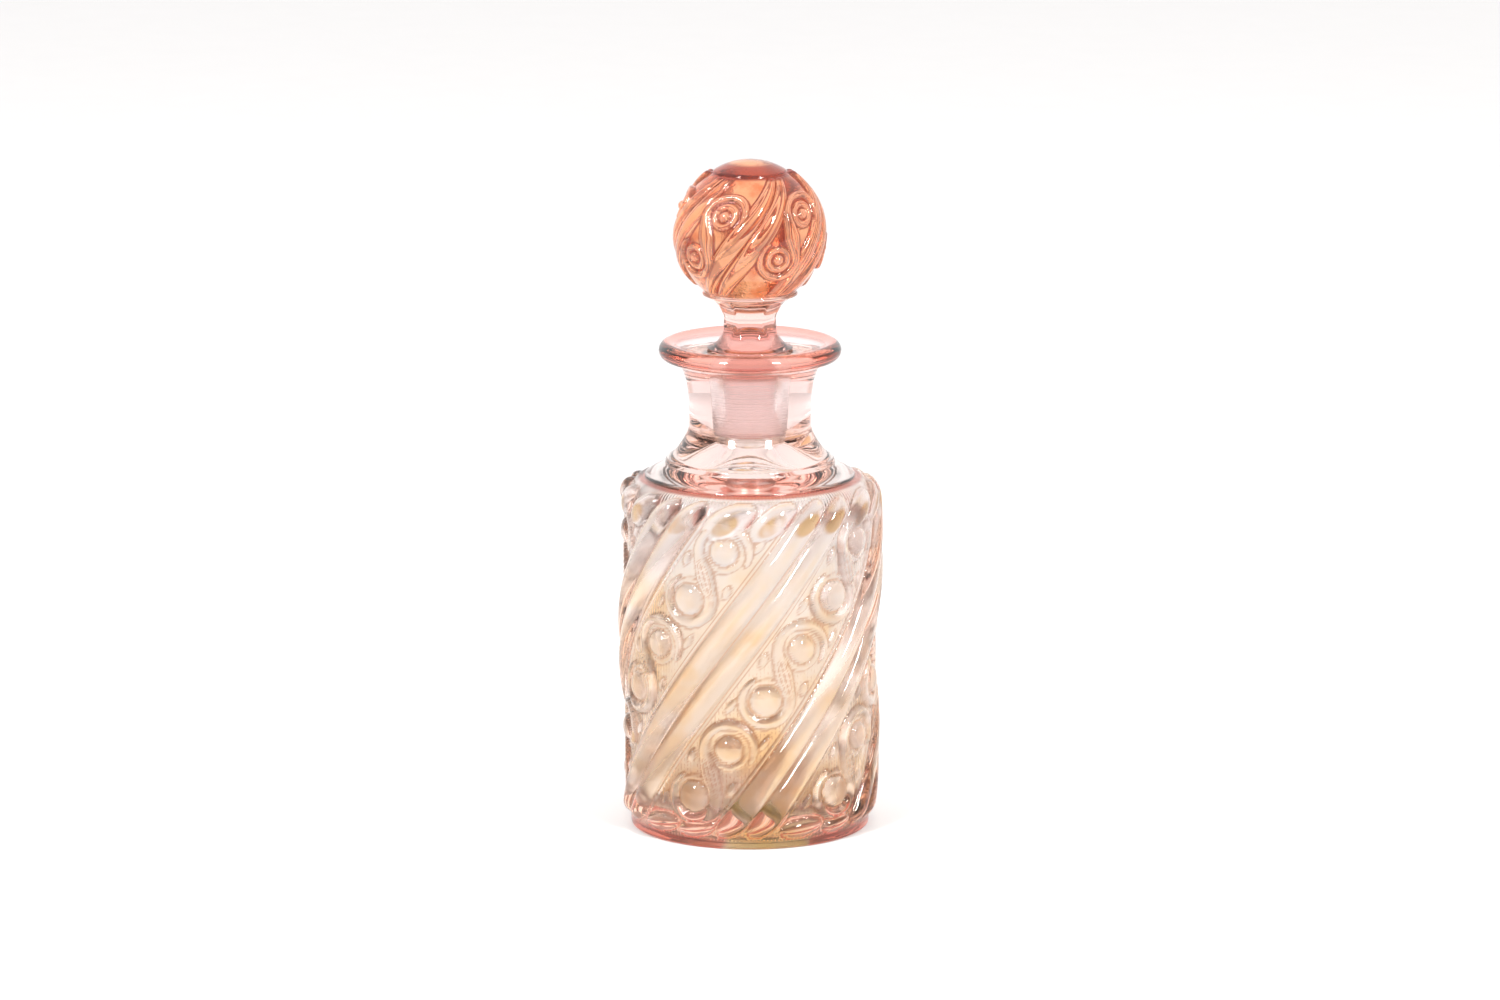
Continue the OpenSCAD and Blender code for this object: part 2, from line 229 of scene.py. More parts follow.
class Skin:
    """A closed turned surface, added ring by ring, whose rings may change their count."""

    def __init__(self):
        self.points, self.faces, self.count = [], [], 0
        self.last = None
        self.masks = {key: [] for key in MASKS}

    def ring_block(self, xyz, **masks):
        """Adds rows of points, shape rows x columns x 3, and joins them to the last ring. A
        mask that isn't given is 0 on them."""
        rows, cols = xyz.shape[:2]
        index = self.count + np.arange(rows * cols).reshape(rows, cols)
        self.points.append(xyz.reshape(-1, 3))
        for key in MASKS:
            self.masks[key].append(np.broadcast_to(masks.get(key, 0.0), (rows, cols)).reshape(-1))
        self.count += rows * cols
        if self.last is not None:
            self.join(self.last, index[0])
        if cols > 1:
            right = np.roll(index, -1, axis=1)
            quads = np.stack([index[:-1], right[:-1], right[1:], index[1:]], axis=-1)
            self.faces.append(quads.reshape(-1, 4))
        self.last = index[-1]

    def join(self, low, high):
        """Joins two rings: equal, four to one either way, or from or to a pole."""
        n, m = len(low), len(high)
        if n == m:
            self.faces.append(
                np.stack([low, np.roll(low, -1), np.roll(high, -1), high], axis=-1)
            )
        elif n == 1:
            self.faces.append(np.stack([np.full(m, low[0]), np.roll(high, -1), high], axis=-1))
        elif m == 1:
            self.faces.append(np.stack([low, np.roll(low, -1), np.full(n, high[0])], axis=-1))
        else:
            flip = n > m
            few, many = (high, low) if flip else (low, high)
            many = many.reshape(-1, 4)
            after = np.roll(many[:, 0], -1)
            nxt = np.roll(few, -1)
            fans = [
                (few, many[:, 1], many[:, 0]),
                (few, many[:, 2], many[:, 1]),
                (few, nxt, many[:, 2]),
                (nxt, many[:, 3], many[:, 2]),
                (nxt, after, many[:, 3]),
            ]
            tris = np.concatenate([np.stack(f, axis=-1) for f in fans])
            self.faces.append(tris[:, ::-1] if flip else tris)

    def build(self, name):
        """Makes the mesh, with the masks as float attributes on its points."""
        points = np.concatenate(self.points)
        sizes = np.concatenate([np.full(len(f), f.shape[1]) for f in self.faces])
        loops = np.concatenate([f.reshape(-1) for f in self.faces])
        mesh = bpy.data.meshes.new(name)
        mesh.vertices.add(len(points))
        mesh.vertices.foreach_set("co", points.reshape(-1))
        mesh.loops.add(len(loops))
        mesh.loops.foreach_set("vertex_index", loops.astype(np.int32))
        mesh.polygons.add(len(sizes))
        starts = np.concatenate([[0], np.cumsum(sizes)[:-1]])
        mesh.polygons.foreach_set("loop_start", starts.astype(np.int32))
        mesh.polygons.foreach_set("use_smooth", np.ones(len(sizes), bool))
        for key, parts in self.masks.items():
            layer = mesh.attributes.new(key, "FLOAT", "POINT")
            layer.data.foreach_set("value", np.concatenate(parts).astype(np.float32))
        mesh.update(calc_edges=True)
        mesh.validate()
        piece = bpy.data.objects.new(name, mesh)
        bpy.context.scene.collection.objects.link(piece)
        return piece


def turned(section, cols, twist=0.0):
    """Points of a section turned about the axis: at angle t a point (r, z) stands at
    (r sin t, -r cos t, z). twist is one angle, or one for each point of the section."""
    t = np.linspace(0, 2 * np.pi, cols, endpoint=False)[None, :]
    t = t + np.broadcast_to(twist, len(section))[:, None]
    r, z = section[:, :1], section[:, 1:]
    return np.stack([r * np.sin(t), -r * np.cos(t), np.broadcast_to(z, t.shape)], axis=-1)


# ---------------------------------------------------------------- the pattern


def scroll(x, y, upper, arch, curl, width):
    """Distance from a point to an S, as a share of the S's half width there, and how far
    along the S that is, from 0 to 3. The S turns left around the upper eye at radius arch,
    runs straight to the lower eye at the origin and turns right around it at radius curl."""
    span = np.hypot(*upper)
    leave = np.arctan2(-upper[1], -upper[0]) + 2 * np.pi - np.arccos((arch + curl) / span)
    first, last = np.radians(-28), np.radians(-238)
    meet = leave - np.pi
    p = upper + arch * np.array([np.cos(leave), np.sin(leave)])
    q = curl * np.array([np.cos(meet), np.sin(meet)])

    def to_arc(dx, dy, r, start, end):
        a = np.arctan2(dy, dx)
        middle = (start + end) / 2
        a = (a - middle + np.pi) % (2 * np.pi) - np.pi + middle
        low, high = min(start, end), max(start, end)
        held = np.clip(a, low, high)
        away = np.hypot(dx - r * np.cos(held), dy - r * np.sin(held))
        return away, (held - start) / (end - start)

    d1, t1 = to_arc(x - upper[0], y - upper[1], arch, first, leave)
    d3, t3 = to_arc(x, y, curl, meet, last)
    run = q - p
    t2 = np.clip(((x - p[0]) * run[0] + (y - p[1]) * run[1]) / (run @ run), 0, 1)
    d2 = np.hypot(x - p[0] - t2 * run[0], y - p[1] - t2 * run[1])
    along = np.where(d1 <= np.minimum(d2, d3), t1, np.where(d2 <= d3, 1 + t2, 2 + t3))
    away = np.minimum(np.minimum(d1, d2), d3)
    return away / np.interp(along, *width), along


def dome(rho, r):
    """A round cap of radius r and height 1."""
    return np.sqrt(np.clip(1 - (rho / r) ** 2, 0, 1))


def drop(x, y, r, tall, turn):
    """A small leaning drop of half width r and half height tall."""
    c, s = np.cos(turn), np.sin(turn)
    return np.sqrt(np.clip(1 - ((x * c + y * s) / r) ** 2 - ((y * c - x * s) / tall) ** 2, 0, 1))


def body_relief(theta, v, s):
    """Height of the body's pattern at angle theta and at way v up the side, how bare the
    ground is there, and a spot at the top of each rib and lobe. Five groups go around and
    lean with the height: in each, a pair of round ribs, then a row of three S scrolls with
    domed eyes, drops in the gaps, and round lobes at both ends."""
    eye_z, eye_step, pairs = 12.8 * MM, 12.25 * MM, 3
    arch, curl = 6.15 * MM, 5.75 * MM
    low_eye, high_eye = 3.75 * MM, 3.3 * MM
    gap = 0.35 * MM
    mean_r = s.side_r + s.side_spread / 2
    lean = s.lean / MM
    group = 2 * np.pi / REPEATS
    phase = theta - s.start - lean * v
    pair = (phase % group) - group / 2
    row = (phase + group / 2) % group - group / 2

    rib = np.radians(7.2)
    across = (np.abs(pair) - rib) / rib
    top, low = 80.8 * MM, 6.8 * MM
    below = np.where(v < low, (low - v) / (3.7 * MM), 0)
    end = np.where(v > top, (v - top) / (5.2 * MM), below)
    swell = np.interp(v / MM, [5, 15, 45, 65, 90], [0.80, 0.86, 1.0, 1.06, 1.0])
    height = s.rib_h * swell * np.clip(1 - across**2 - end**2, 0, 1) ** 0.6

    edge = np.clip(1 - ((np.abs(pair) - np.radians(15.9)) / np.radians(0.95)) ** 2, 0, 1)
    height = np.maximum(height, 0.5 * MM * edge * (1 - smooth(end * 1.3)))

    upper = np.array([mean_r * lean * eye_step, eye_step])
    width = (
        [0, 0.12, 0.8, 1.0, 1.5, 2.0, 2.3, 2.8, 3.0],
        [w * MM for w in (0.5, 0.95, 1.1, 1.5, 2.3, 1.7, 1.35, 1.0, 0.5)],
    )
    moat = np.zeros_like(height)
    for i in range(pairs):
        y = v - (eye_z + 2 * i * eye_step)
        x = mean_r * (row + lean * y)
        share, along = scroll(x, y, upper, arch, curl, width)
        leg = smooth((along - 0.85) / 0.4) * smooth((2.25 - along) / 0.4)
        plain = np.sqrt(np.clip(1 - share**2, 0, 1))
        lined = smooth((1 - share) / 0.3) * (0.86 - 0.14 * np.cos(2 * np.pi * 2 * share))
        band = s.band_h * ((1 - leg) * plain + leg * lined) * (share < 1)
        height = np.maximum(height, band)
        for cx, cy, r in ((0, 0, low_eye), (upper[0], upper[1], high_eye)):
            rho = np.hypot(x - cx, y - cy)
            plate = smooth((rho - r - gap) / (0.5 * MM))
            plate = plate * smooth((5.3 * MM - rho) / (0.4 * MM))
            height = np.maximum(height, 0.4 * MM * plate)
            eye = np.maximum(height, s.dome_h * dome(rho, r * 1.04))
            height = np.where(rho < r, eye, height)
            moat = np.maximum(moat, 0.3 * MM * np.exp(-(((rho - r - gap) / (0.3 * MM)) ** 2)))
        for cx, cy in ((-0.6 * MM, 10.0 * MM), (upper[0] + 0.6 * MM, upper[1] - 10.0 * MM)):
            height = np.maximum(height, 0.9 * MM * drop(x - cx, y - cy, 0.9 * MM, 1.7 * MM, -0.3))
        for cx, cy in ((-8.6 * MM, -1.5 * MM), (upper[0] + 8.6 * MM, upper[1] + 1.5 * MM)):
            height = np.maximum(height, 0.8 * MM * drop(x - cx, y - cy, 0.8 * MM, 2.0 * MM, -0.6))

    height = height - moat
    spots = mean_r * (np.abs(pair) - rib)
    for at, wide in ((-8.3, 11.0), (12.6, 9.0)):
        off = (row - np.radians(at)) / np.radians(wide)
        top_lobe = np.clip(1 - off**2 - ((v - 81.4 * MM) / (4.8 * MM)) ** 2, 0, 1) ** 0.6
        low_lobe = np.clip(1 - off**2 - ((v - 4.9 * MM) / (2.2 * MM)) ** 2, 0, 1) ** 0.6
        height = np.maximum(height, 1.9 * MM * top_lobe)
        height = np.maximum(height, 1.5 * MM * low_lobe)
        beside = mean_r * (row - np.radians(at))
        spots = np.where(np.abs(beside) < np.abs(spots), beside, spots)
    bare = 1 - smooth(height / (0.5 * MM))
    ends = np.clip(1 - (spots**2 + (v - 80.6 * MM) ** 2) / (3.1 * MM) ** 2, 0, 1)
    return height, bare, ends


def ball_relief(lon, lat, s):
    """Height of the ball's pattern at a longitude and latitude, and how bare the ground is.
    Five S scrolls lean to the right, each eye a drop in a ring, with two tapering leaves
    after each scroll."""
    group = 2 * np.pi / REPEATS
    low, high, turn = np.radians(-11), np.radians(23), np.radians(25)
    lean = turn / (high - low)
    phase = lon - np.radians(-49) - lean * (lat - low)
    row = (phase + group / 2) % group - group / 2
    leaf = (phase % group) - group / 2
    r = s.ball_r
    y = r * (lat - low)
    x = r * np.cos(lat) * (row + lean * (lat - low))
    upper = np.array([r * turn * np.cos((low + high) / 2), r * (high - low)])
    width = (
        [0, 0.12, 0.8, 1.0, 1.5, 2.0, 2.3, 2.8, 3.0],
        [w * MM for w in (0.35, 0.7, 0.85, 1.2, 2.0, 1.3, 0.9, 0.7, 0.35)],
    )
    share, along = scroll(x, y, upper, 4.9 * MM, 4.6 * MM, width)
    height = s.relief * np.clip(1 - share**2, 0, 1) ** 0.4
    for cx, cy in ((0, 0), (upper[0], upper[1])):
        rho = np.hypot(x - cx, y - cy)
        height = np.maximum(height, 1.1 * s.relief * dome(rho, 1.25 * MM))
        height = np.maximum(height, 0.6 * s.relief * dome(rho - 2.55 * MM, 0.75 * MM))
    fade_low = smooth((lat + np.radians(50)) / np.radians(8))
    fade = fade_low * smooth((np.radians(60) - lat) / np.radians(6))
    half = np.radians(18.5) * (0.5 + 0.5 * np.cos(lat * 1.3))
    for side in (-1, 1):
        off = (leaf - side * half * 0.52) / (half * 0.5)
        height = np.maximum(height, s.relief * np.clip(1 - off**2, 0, 1) ** 0.5)
    height = height * fade
    return height, 1 - smooth(height / (0.35 * MM))


def creases(height, step, full):
    """How deep a groove and how sharp a crest there is at each point of a relief: the mean
    of the heights some steps away less the point's own height, over the size that counts as
    full, which is positive in a groove and negative on a crest."""
    padded = np.pad(height, ((step, step), (0, 0)), mode="edge")
    beside = np.roll(height, step, axis=1) + np.roll(height, -step, axis=1)
    bend = ((padded[: -2 * step] + padded[2 * step :] + beside) / 4 - height) / full
    return np.clip(bend, 0, 1), np.clip(-bend, 0, 1)


# ---------------------------------------------------------------- the two pieces


def waviness(theta, z, size):
    """The slight unevenness that pressed glass keeps: a sum of slow waves."""
    slow = np.sin(3 * theta + 90 * z)
    cross = 0.7 * np.sin(5 * theta - 160 * z + 1.3)
    return size * (slow + cross + 0.5 * np.sin(260 * z + 2 * theta))


def side_section(s, rows):
    """Points of the ground of the side from the foot rim to the shoulder's edge, and the
    way v up the side, which is the height and then the length of the turn."""
    turn_z = s.shoulder_z - s.turn_h
    top_r = s.side_r + s.side_spread
    curve = quarter((s.shoulder_r, s.shoulder_z), (top_r, turn_z), 2, 200)[::-1]
    steps = np.hypot(*np.diff(curve, axis=0).T)
    lengths = turn_z + np.concatenate([[0], np.cumsum(steps)])
    v = np.linspace(RIM_Z, lengths[-1], rows)
    side = s.side_r + s.side_spread * v / turn_z
    r = np.where(v < turn_z, side, np.interp(v, lengths, curve[:, 0]))
    z = np.where(v < turn_z, v, np.interp(v, lengths, curve[:, 1]))
    return np.column_stack([r, z]), v


def bottle_skin(s):
    """The whole surface of the bottle in one closed skin: under the foot, up the patterned
    side, over shoulder, neck and lip, and down the bore and the hollow to its floor."""
    few, many, rows = 128, 512, 153
    lip_top = BOTTLE_HIGH[2]
    lip_r = s.lip_r
    mouth_z = lip_top - s.dish_h
    bead = (lip_r - s.bead_r, lip_top - s.bead_r)
    edge = 0.7 * MM
    skin = Skin()

    under = np.concatenate([
        line((0, s.kick_h), (s.foot_ring - 2.4 * MM, s.kick_h), 5),
        quarter((s.foot_ring, 0), (s.foot_ring - 2.4 * MM, s.kick_h), 2, 5)[::-1][1:],
        line((s.foot_ring, 0), (s.side_r - edge, 0), 4),
        arc((s.side_r - edge, edge), edge, -90, 0, 5)[1:],
        line((s.side_r, edge), (s.side_r, 2.0 * MM), 3),
    ])
    twist = s.lean / MM * RIM_Z
    skin.ring_block(np.array([[[0.0, 0.0, s.kick_h]]]))
    skin.ring_block(turned(under, few, twist))

    section, v = side_section(s, rows)
    twists = s.lean / MM * v
    theta = np.linspace(0, 2 * np.pi, many, endpoint=False)[None, :] + twists[:, None]
    height, bare, ends = body_relief(theta, np.broadcast_to(v[:, None], theta.shape), s)
    height = height + waviness(theta, section[:, 1:], 0.02 * MM)
    out = normals_of(section)
    r = section[:, :1] + out[:, :1] * height
    z = section[:, 1:] + out[:, 1:] * height
    xyz = np.stack([r * np.sin(theta), -r * np.cos(theta), z], axis=-1)
    groove, crest = creases(height, 1, 0.1 * MM)
    skin.ring_block(xyz, bare_ground=bare, groove=groove, crest=crest, rib_end=ends)

    inner_r = s.side_r - s.wall
    vault = (s.throat_r + s.throat_turn, s.vault_z)
    outside = np.concatenate([
        line((s.shoulder_r, s.shoulder_z), (s.shoulder_r - 0.1 * MM, s.shoulder_z + 0.5 * MM), 2),
        line(
            (s.shoulder_r - 0.4 * MM, s.shoulder_z + 0.7 * MM),
            (s.ring_r + 0.5 * MM, s.ring_z - 0.1 * MM),
            7,
        ),
        arc((s.ring_r + 0.3 * MM, s.ring_z + 0.3 * MM), 0.3 * MM, 250, 180, 3),
        arc((s.ring_r - 0.5 * MM, s.ring_z + s.ring_h - 0.4 * MM), 0.4 * MM, 0, 90, 4),
        quarter((s.ring_r - 0.6 * MM, s.ring_z + s.ring_h), (s.neck_r, s.waist_low), 1.3, 12)[1:],
        line((s.neck_r, s.waist_low), (s.neck_r, s.waist_high), 2),
        quarter((bead[0], bead[1] - s.bead_r), (s.neck_r, s.waist_high), 2.5, 16)[::-1][1:],
        arc(bead, s.bead_r, -75, 108, 17)[1:],
    ])
    within = np.concatenate([
        quarter((s.dish_r, mouth_z + 0.1 * MM), (bead[0] - 1.5 * MM, lip_top - 0.35 * MM), 1.3, 8)[::-1],
        arc((s.mouth_r + 0.35 * MM, mouth_z - 0.35 * MM), 0.35 * MM, 90, 180, 4),
        line((s.mouth_r, mouth_z - 0.35 * MM), (s.bore_r, s.ground_z), 6),
        quarter(vault, (s.throat_r, s.vault_z + s.throat_turn), 1.2, 12)[::-1],
        quarter(vault, (inner_r, s.vault_z - 9 * MM), 2, 10)[1:],
        line((inner_r, s.vault_z - 9 * MM), (inner_r, s.floor_h + 6 * MM), 10),
        quarter((inner_r - 6 * MM, s.floor_h), (inner_r, s.floor_h + 6 * MM), 2, 9)[::-1][1:],
        line((inner_r - 6 * MM, s.floor_h), (3 * MM, s.floor_h), 6),
    ])
    rest = np.concatenate([outside, within])
    block = turned(rest, few, twists[-1])
    theta = np.arctan2(block[..., 0], -block[..., 1])
    past_lip = (np.arange(len(rest)) >= len(outside))[:, None]
    inside = (block[..., 2] < s.vault_z + 7 * MM) & past_lip
    uneven = np.where(inside, waviness(theta, block[..., 2], 0.09 * MM), 0)
    grow = 1 + uneven / np.maximum(np.hypot(block[..., 0], block[..., 1]), 5 * MM)
    block[..., 0] *= grow
    block[..., 1] *= grow
    film = np.where(inside, smooth((s.vault_z + 2 * MM - block[..., 2]) / (10 * MM)), 0)
    skin.ring_block(block, scent_film=film)
    skin.ring_block(np.array([[[0.0, 0.0, s.floor_h]]]), scent_film=1.0)
    return skin.build("bottle_glass")


def stopper_skin(s):
    """The whole surface of the stopper in one closed skin: the ground plug, the flare, the
    six-sided stem, the collar, the patterned ball and its plain cap."""
    few, many, rows = 120, 480, 176
    plug_z, top_z = STOPPER_LOW[2], STOPPER_HIGH[2]
    mouth_z = BOTTLE_HIGH[2] - DISH_MM * MM
    ball_z = s.ball_z
    ledge = 0.5 * MM
    skin = Skin()
    foot = np.concatenate([
        line((0, plug_z), (s.plug_low - 0.4 * MM, plug_z), 5),
        arc((s.plug_low - 0.4 * MM, plug_z + 0.4 * MM), 0.4 * MM, -90, 0, 4)[1:],
        line((s.plug_low, plug_z + 0.4 * MM), (s.plug_high, mouth_z), 12),
        line((s.plug_high, mouth_z), (s.plug_high + 0.25 * MM, mouth_z + 0.25 * MM), 2),
        line(
            (s.plug_high + 0.25 * MM, mouth_z + 0.25 * MM),
            (s.flare_r - 0.2 * MM, mouth_z + 0.25 * MM),
            4,
        ),
        quarter((s.flare_r, mouth_z + 0.55 * MM), (s.stem_r, s.stem_low), 1.6, 12),
        line((s.stem_r, s.stem_low), (s.stem_r, s.stem_high), 6),
        quarter((s.collar_r, s.collar_z), (s.stem_r, s.stem_high), 1.35, 14)[::-1][1:],
        arc((s.collar_r - 0.25 * MM, s.collar_z + 0.25 * MM), 0.25 * MM, -20, 90, 4),
    ])
    block = turned(foot, few)
    theta = np.arctan2(block[..., 0], -block[..., 1])
    flat = s.stem_r * np.cos(np.pi / 6) / np.cos((theta + np.pi / 6) % (np.pi / 3) - np.pi / 6)
    middle = (s.stem_low + s.stem_high) / 2 + 0.4 * MM
    scoop = 9 * MM - np.sqrt(np.clip((9 * MM) ** 2 - (block[..., 2] - middle) ** 2, 0, None))
    cut = flat + scoop * 1.6
    radius = np.hypot(block[..., 0], block[..., 1])
    near = np.abs(block[..., 2] - middle) < 5.5 * MM
    trim = np.where(near, np.minimum(1, cut / np.maximum(radius, 1e-6)), 1)
    block[..., 0] *= trim
    block[..., 1] *= trim
    skin.ring_block(np.array([[[0.0, 0.0, plug_z]]]))
    skin.ring_block(block)

    low = -np.arcsin((ball_z - s.collar_z - ledge) / s.ball_r)
    high = np.arccos(s.cap_r / s.ball_r)
    lat = np.linspace(low, high, rows + 2)[1:-1][:, None]
    lon = np.linspace(0, 2 * np.pi, many, endpoint=False)[None, :]
    lat, lon = np.broadcast_arrays(lat, lon)
    height, bare = ball_relief(lon, lat, s)
    r = s.ball_r + height
    level = r * np.cos(lat)
    xyz = np.stack([level * np.sin(lon), -level * np.cos(lon), ball_z + r * np.sin(lat)], axis=-1)
    groove, crest = creases(height, 3, 0.17 * MM)
    skin.ring_block(xyz, bare_ground=bare, groove=groove, crest=crest)

    rim_z = ball_z + s.ball_r * np.sin(high)
    rise = top_z - rim_z - 0.5 * MM
    dome_r = (s.cap_r**2 + rise**2) / (2 * rise)
    rim = np.degrees(np.arccos(s.cap_r / dome_r))
    cap = np.concatenate([
        line((s.cap_r + 0.05 * MM, rim_z), (s.cap_r - 0.05 * MM, rim_z + 0.5 * MM), 3),
        arc((0, top_z - dome_r), dome_r, rim, 88, 12)[1:],
    ])
    skin.ring_block(turned(cap, few))
    skin.ring_block(np.array([[[0.0, 0.0, top_z]]]))
    return skin.build("stopper_glass")


# ---------------------------------------------------------------- materials


class Nodes:
    """Short ways to lay out shader nodes in one tree."""

    def __init__(self, tree):
        self.tree = tree

    def add(self, kind, inputs=None, **settings):
        node = self.tree.nodes.new(kind)
        for key, value in settings.items():
            setattr(node, key, value)
        for key, value in (inputs or {}).items():
            if isinstance(value, bpy.types.NodeSocket):
                self.tree.links.new(value, node.inputs[key])
            else:
                node.inputs[key].default_value = value
        return node

    def math(self, operation, a, b=0.0):
        return self.add("ShaderNodeMath", {0: a, 1: b}, operation=operation).outputs[0]

    def ramp(self, value, low, high):
        """0 below low, 1 above high, eased between them."""
        node = self.add("ShaderNodeMapRange", {"Value": value, "From Min": low, "From Max": high})
        node.interpolation_type = "SMOOTHSTEP"
        return node.outputs["Result"]

    def noise(self, place, scale, detail):
        """A noise from 0 to 1, with its number of waves to a metre."""
        settings = {"Vector": place, "Scale": scale, "Detail": detail}
        return self.add("ShaderNodeTexNoise", settings).outputs["Fac"]

    def reach(self, place):
        """Distance of a place from the upright axis."""
        level = self.add("ShaderNodeVectorMath", {0: place, 1: (1, 1, 0)}, operation="MULTIPLY")
        length = self.add("ShaderNodeVectorMath", {0: level.outputs[0]}, operation="LENGTH")
        return length.outputs["Value"]

    def mix(self, share, a, b):
        """Colour a where share is 0, and b where it is 1."""
        node = self.add("ShaderNodeMix", data_type="RGBA")
        for key, value in ((0, share), (6, a), (7, b)):
            if isinstance(value, bpy.types.NodeSocket):
                self.tree.links.new(value, node.inputs[key])
            elif key == 0:
                node.inputs[key].default_value = value
            else:
                node.inputs[key].default_value = (*value, 1)
        return node.outputs[2]


def new_group(name, inputs, outputs):
    """An empty shader group with the given (name, kind, default) sockets."""
    tree = bpy.data.node_groups.new(name, "ShaderNodeTree")
    for label, kind, value in inputs:
        socket = tree.interface.new_socket(label, in_out="INPUT", socket_type=kind)
        if value is not None:
            socket.default_value = value
    for label, kind in outputs:
        tree.interface.new_socket(label, in_out="OUTPUT", socket_type=kind)
    nodes = Nodes(tree)
    return tree, nodes, nodes.add("NodeGroupInput"), nodes.add("NodeGroupOutput")


def mould_skin_group():
    """Fine unevenness of glass from an iron mould: slow orange peel, and where the ground is
    bare a close grain and an upright hatch, a sine of the angle about the axis. Puts out a
    height, and the hatch broken into ticks."""
    tree, n, given, out = new_group(
        "Mould skin",
        [
            ("Place", "NodeSocketVector", None),
            ("Bare", "NodeSocketFloat", 0.0),
            ("Grain", "NodeSocketFloat", 1.0),
            ("Hatch", "NodeSocketFloat", 1.0),
        ],
        [("Height", "NodeSocketFloat"), ("Ticks", "NodeSocketFloat")],
    )
    place = given.outputs["Place"]
    peel = n.add("ShaderNodeTexNoise", {"Vector": place, "Scale": 260.0, "Detail": 2.0})
    grain = n.add("ShaderNodeTexNoise", {"Vector": place, "Scale": 1500.0, "Detail": 1.0})
    part = n.add("ShaderNodeSeparateXYZ", {0: place})
    turn = n.math("ARCTAN2", part.outputs["X"], part.outputs["Y"])
    upright = n.math("SINE", n.math("MULTIPLY", turn, 200.0))
    lines = n.math("MULTIPLY", upright, given.outputs["Hatch"])
    fine = n.math("ADD", n.math("MULTIPLY", grain.outputs["Fac"], given.outputs["Grain"]), lines)
    fine = n.math("MULTIPLY", fine, given.outputs["Bare"])
    total = n.math("ADD", n.math("MULTIPLY", peel.outputs["Fac"], 0.35), fine)
    ticks = n.math("MULTIPLY", n.ramp(upright, 0.0, 0.9), n.ramp(grain.outputs["Fac"], 0.45, 0.60))
    ticks = n.math("MULTIPLY", n.math("MULTIPLY", ticks, given.outputs["Hatch"]), given.outputs["Bare"])
    tree.links.new(total, out.inputs["Height"])
    tree.links.new(ticks, out.inputs["Ticks"])
    return tree


def ground_zone_group():
    """Satin of a ground joint: rough between two heights and within a radius, with faint
    rings from the grinding. Puts out a roughness and the zone's mask."""
    tree, n, given, out = new_group(
        "Ground joint",
        [
            ("Place", "NodeSocketVector", None),
            ("Foot", "NodeSocketFloat", 0.0),
            ("Top", "NodeSocketFloat", 0.1),
            ("Reach", "NodeSocketFloat", 0.01),
            ("Satin", "NodeSocketFloat", 0.25),
            ("Polish", "NodeSocketFloat", 0.0),
        ],
        [("Roughness", "NodeSocketFloat"), ("Zone", "NodeSocketFloat")],
    )
    z = n.add("ShaderNodeSeparateXYZ", {0: given.outputs["Place"]}).outputs["Z"]
    reach = n.reach(given.outputs["Place"])
    above = n.math("GREATER_THAN", z, given.outputs["Foot"])
    below = n.math("LESS_THAN", z, given.outputs["Top"])
    near = n.math("LESS_THAN", reach, given.outputs["Reach"])
    zone = n.math("MULTIPLY", n.math("MULTIPLY", above, below), near)
    rings = n.add(
        "ShaderNodeTexNoise",
        {"W": n.math("MULTIPLY", z, 900.0), "Detail": 2.0},
        noise_dimensions="1D",
    )
    ringed = n.math("ADD", 0.7, n.math("MULTIPLY", rings.outputs["Fac"], 0.6))
    satin = n.math("MULTIPLY", given.outputs["Satin"], ringed)
    rough = n.math("ADD", given.outputs["Polish"], n.math("MULTIPLY", zone, satin))
    tree.links.new(rough, out.inputs["Roughness"])
    tree.links.new(zone, out.inputs["Zone"])
    return tree


def glass_material(name, groups, zone, mould, paint, volume, density, slot_rgb):
    """Tinted glass: a Principled surface whose colour paint() lays out, satin in the ground
    zone, with the mould's skin as bump and a plain absorption inside."""
    material = bpy.data.materials.new(name)
    material.use_nodes = True
    material.diffuse_color = (*slot_rgb, 1)
    tree = material.node_tree
    tree.nodes.clear()
    n = Nodes(tree)
    place = n.add("ShaderNodeTexCoord").outputs["Object"]
    mask = {
        key: n.add("ShaderNodeAttribute", attribute_name=key).outputs["Fac"] for key in MASKS
    }
    joint = n.add("ShaderNodeGroup", node_tree=groups["joint"])
    tree.links.new(place, joint.inputs["Place"])
    for key, value in zone.items():
        joint.inputs[key].default_value = value
    skin = n.add("ShaderNodeGroup", node_tree=groups["skin"])
    tree.links.new(place, skin.inputs["Place"])
    tree.links.new(mask["bare_ground"], skin.inputs["Bare"])
    for key, value in mould.items():
        skin.inputs[key].default_value = value
    mask["ticks"] = skin.outputs["Ticks"]
    bump = n.add(
        "ShaderNodeBump", {"Height": skin.outputs["Height"], "Strength": 0.35, "Distance": 0.0002}
    )
    dull = n.math("MULTIPLY", mask["scent_film"], 0.32)
    surface = n.add(
        "ShaderNodeBsdfPrincipled",
        {
            "Base Color": paint(n, place, mask),
            "Roughness": n.math("ADD", joint.outputs["Roughness"], dull),
            "Normal": bump.outputs["Normal"],
            "IOR": GLASS_IOR,
            "Transmission Weight": 1.0,
        },
    )
    tint = n.add("ShaderNodeVolumeAbsorption", {"Color": (*volume, 1), "Density": density})
    n.add("ShaderNodeOutputMaterial", {"Surface": surface.outputs[0], "Volume": tint.outputs[0]})
    return material


